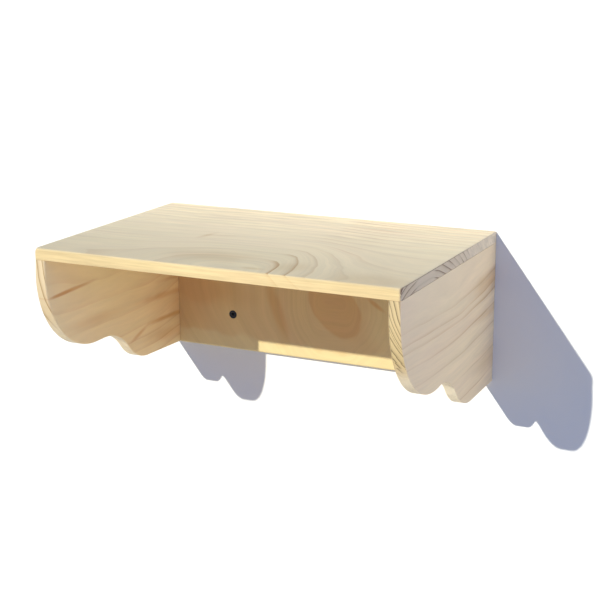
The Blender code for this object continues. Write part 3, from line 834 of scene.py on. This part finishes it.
class DowelFinish(bpy.types.PropertyGroup):
    """Finish of the dowels"""
    colour: FloatVectorProperty(
        name="Colour", description="Beech between the flecks",
        default=linear("#D9B48A"), subtype="COLOR", min=0, max=1)
    fleck_colour: FloatVectorProperty(
        name="Flecks", description="Darker flecks in the beech",
        default=linear("#B4875A"), subtype="COLOR", min=0, max=1)


class ScrewFinish(bpy.types.PropertyGroup):
    """Finish of the wall screws"""
    colour: FloatVectorProperty(
        name="Coating", description="Blackened steel",
        default=linear("#24262A"), subtype="COLOR", min=0, max=1)
    worn_colour: FloatVectorProperty(
        name="Worn coating", description="Greyer steel where the coating is thin",
        default=linear("#4A4E55"), subtype="COLOR", min=0, max=1)


class StageSettings(bpy.types.PropertyGroup):
    """Wall, floor, lights and camera"""
    wall_colour: FloatVectorProperty(
        name="Wall", description="Paint of the wall",
        default=linear("#F4F0EE"), subtype="COLOR", min=0, max=1)
    floor_colour: FloatVectorProperty(
        name="Floor", description="Pale floor",
        default=linear("#DCCDB3"), subtype="COLOR", min=0, max=1)
    wall_width: FloatProperty(
        name="Wall width", description="Width of the wall panel behind the step",
        default=1.5, min=0.6, subtype="DISTANCE", unit="LENGTH")
    wall_top: FloatProperty(
        name="Wall top", description="Top edge of the wall panel above the screws",
        default=0.4, min=0.2, subtype="DISTANCE", unit="LENGTH")
    floor_drop: FloatProperty(
        name="Floor drop", description="How far the floor lies below the screws' height",
        default=0.475, min=0.3, subtype="DISTANCE", unit="LENGTH")
    key_colour: FloatVectorProperty(
        name="Key light", description="Colour of the key light",
        default=(0.982, 1.0, 0.864), subtype="COLOR", min=0, max=1)
    key_strength: FloatProperty(
        name="Key strength", description="Strength of the key light",
        default=3.72, min=0)
    key_size: FloatProperty(
        name="Key size", description="Angle that the key light fills, which softens shadows",
        default=radians(0.6), min=0, subtype="ANGLE", unit="ROTATION")
    sky_colour: FloatVectorProperty(
        name="Fill light", description="Colour of the soft light from all around",
        default=(0.186, 0.401, 1.0), subtype="COLOR", min=0, max=1)
    sky_strength: FloatProperty(
        name="Fill strength", description="Strength of the soft light from all around",
        default=0.571, min=0)
    front_fill_colour: FloatVectorProperty(
        name="Front fill", description="Colour of the front soft box",
        default=(1.0, 0.531, 0.352), subtype="COLOR", min=0, max=1)
    front_fill_strength: FloatProperty(
        name="Front fill strength", description="Power of the front soft box",
        default=2.56, min=0, subtype="POWER", unit="POWER")
    side_fill_colour: FloatVectorProperty(
        name="Side fill", description="Colour of the side soft box",
        default=(0.402, 0.573, 1.0), subtype="COLOR", min=0, max=1)
    side_fill_strength: FloatProperty(
        name="Side fill strength", description="Power of the side soft box",
        default=6.46, min=0, subtype="POWER", unit="POWER")
    lens: FloatProperty(
        name="Lens", description="Focal length on a 36 mm wide frame",
        default=83.206, min=20, subtype="DISTANCE_CAMERA")
    camera_azimuth: FloatProperty(
        name="Camera azimuth", description="Angle round the step from straight ahead",
        default=radians(26.2522), subtype="ANGLE", unit="ROTATION")
    camera_elevation: FloatProperty(
        name="Camera elevation", description="Angle above the horizon",
        default=radians(14.8494), subtype="ANGLE", unit="ROTATION")
    camera_roll: FloatProperty(
        name="Camera roll", description="Turn about the line of sight",
        default=radians(-0.4337), subtype="ANGLE", unit="ROTATION")
    camera_distance: FloatProperty(
        name="Camera distance", description="Distance from the aimed point",
        default=1.44024, min=0.5, subtype="DISTANCE", unit="LENGTH")
    camera_target: FloatVectorProperty(
        name="Aim", description="Point that the camera looks at",
        default=(0.032225, -0.130673, 0.062802), subtype="XYZ", unit="LENGTH")


class CatStepSettings(bpy.types.PropertyGroup):
    """Settings of the cat step and its stage"""
    top_board: PointerProperty(type=TopBoardWood, name="Top board", description="Wood of the top board")
    left_board: PointerProperty(
        type=LeftBoardWood, name="Left side board", description="Wood of the left side board")
    right_board: PointerProperty(
        type=RightBoardWood, name="Right side board", description="Wood of the right side board")
    back_board: PointerProperty(type=BackBoardWood, name="Back board", description="Wood of the back board")
    dowels: PointerProperty(type=DowelFinish, name="Dowels", description="Finish of the dowels")
    screws: PointerProperty(type=ScrewFinish, name="Wall screws", description="Finish of the wall screws")
    stage: PointerProperty(type=StageSettings, name="Stage", description="Wall, floor, lights and camera")


class CATSTEP_OT_top_board(bpy.types.Operator):
    """Finish the top board in planed pine"""
    bl_idname = "cat_step.top_board"
    bl_label = "Top Board"

    def execute(self, context):
        wood = context.scene.cat_step.top_board
        finish_node("top_board", planed_pine("planed_pine_top", TOP_FIGURE, wood))
        return {"FINISHED"}


class CATSTEP_OT_side_boards(bpy.types.Operator):
    """Finish both scalloped side boards in planed pine"""
    bl_idname = "cat_step.side_boards"
    bl_label = "Side Boards"

    def execute(self, context):
        woods = context.scene.cat_step
        finish_node("left_side_board", planed_pine("planed_pine_left", LEFT_FIGURE, woods.left_board))
        finish_node("right_side_board", planed_pine("planed_pine_right", RIGHT_FIGURE, woods.right_board))
        return {"FINISHED"}


class CATSTEP_OT_back_board(bpy.types.Operator):
    """Finish the back board in planed pine"""
    bl_idname = "cat_step.back_board"
    bl_label = "Back Board"

    def execute(self, context):
        wood = context.scene.cat_step.back_board
        finish_node("back_board", planed_pine("planed_pine_back", BACK_FIGURE, wood))
        return {"FINISHED"}


class CATSTEP_OT_dowels(bpy.types.Operator):
    """Finish every hidden dowel in beech"""
    bl_idname = "cat_step.dowels"
    bl_label = "Dowels"

    def execute(self, context):
        material = turned_beech("turned_beech", context.scene.cat_step.dowels)
        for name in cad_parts:
            if "dowel" in name:
                finish_node(name, material)
        return {"FINISHED"}


class CATSTEP_OT_wall_screws(bpy.types.Operator):
    """Finish both wall screws in blackened steel"""
    bl_idname = "cat_step.wall_screws"
    bl_label = "Wall Screws"

    def execute(self, context):
        material = blackened_steel("blackened_steel", context.scene.cat_step.screws)
        for side in ("left", "right"):
            finish_node(f"wall_screw_{side}", material)
        return {"FINISHED"}


class CATSTEP_OT_stage(bpy.types.Operator):
    """Set up the wall, the floor, the lights and the camera"""
    bl_idname = "cat_step.stage"
    bl_label = "Stage"

    def execute(self, context):
        stage = context.scene.cat_step.stage
        wall_and_floor(stage)
        key_light(stage)
        soft_box("front_fill", stage.front_fill_colour, stage.front_fill_strength, FRONT_FILL_PLACE)
        soft_box("side_fill", stage.side_fill_colour, stage.side_fill_strength, SIDE_FILL_PLACE)
        studio_fill(stage)
        front_camera(stage)
        context.scene.view_settings.view_transform = "Standard"
        context.scene.view_settings.look = "None"
        return {"FINISHED"}


OPERATORS = (
    CATSTEP_OT_top_board,
    CATSTEP_OT_side_boards,
    CATSTEP_OT_back_board,
    CATSTEP_OT_dowels,
    CATSTEP_OT_wall_screws,
    CATSTEP_OT_stage,
)


class CATSTEP_PT_looks(bpy.types.Panel):
    """Steps that dress the cat step"""
    bl_idname = "CATSTEP_PT_looks"
    bl_label = "Pine Cat Step"
    bl_space_type = "VIEW_3D"
    bl_region_type = "UI"
    bl_category = "Cat Step"

    def draw(self, context):
        for operator in OPERATORS:
            self.layout.operator(operator.bl_idname)


CLASSES = (
    TopBoardWood,
    LeftBoardWood,
    RightBoardWood,
    BackBoardWood,
    DowelFinish,
    ScrewFinish,
    StageSettings,
    CatStepSettings,
    *OPERATORS,
    CATSTEP_PT_looks,
)


def register():
    for cls in CLASSES:
        bpy.utils.register_class(cls)
    bpy.types.Scene.cat_step = PointerProperty(type=CatStepSettings)


def unregister():
    del bpy.types.Scene.cat_step
    for cls in reversed(CLASSES):
        bpy.utils.unregister_class(cls)


def main():
    register()
    bpy.ops.cat_step.top_board()
    bpy.ops.cat_step.side_boards()
    bpy.ops.cat_step.back_board()
    bpy.ops.cat_step.dowels()
    bpy.ops.cat_step.wall_screws()
    bpy.ops.cat_step.stage()


if __name__ == "__main__":
    main()
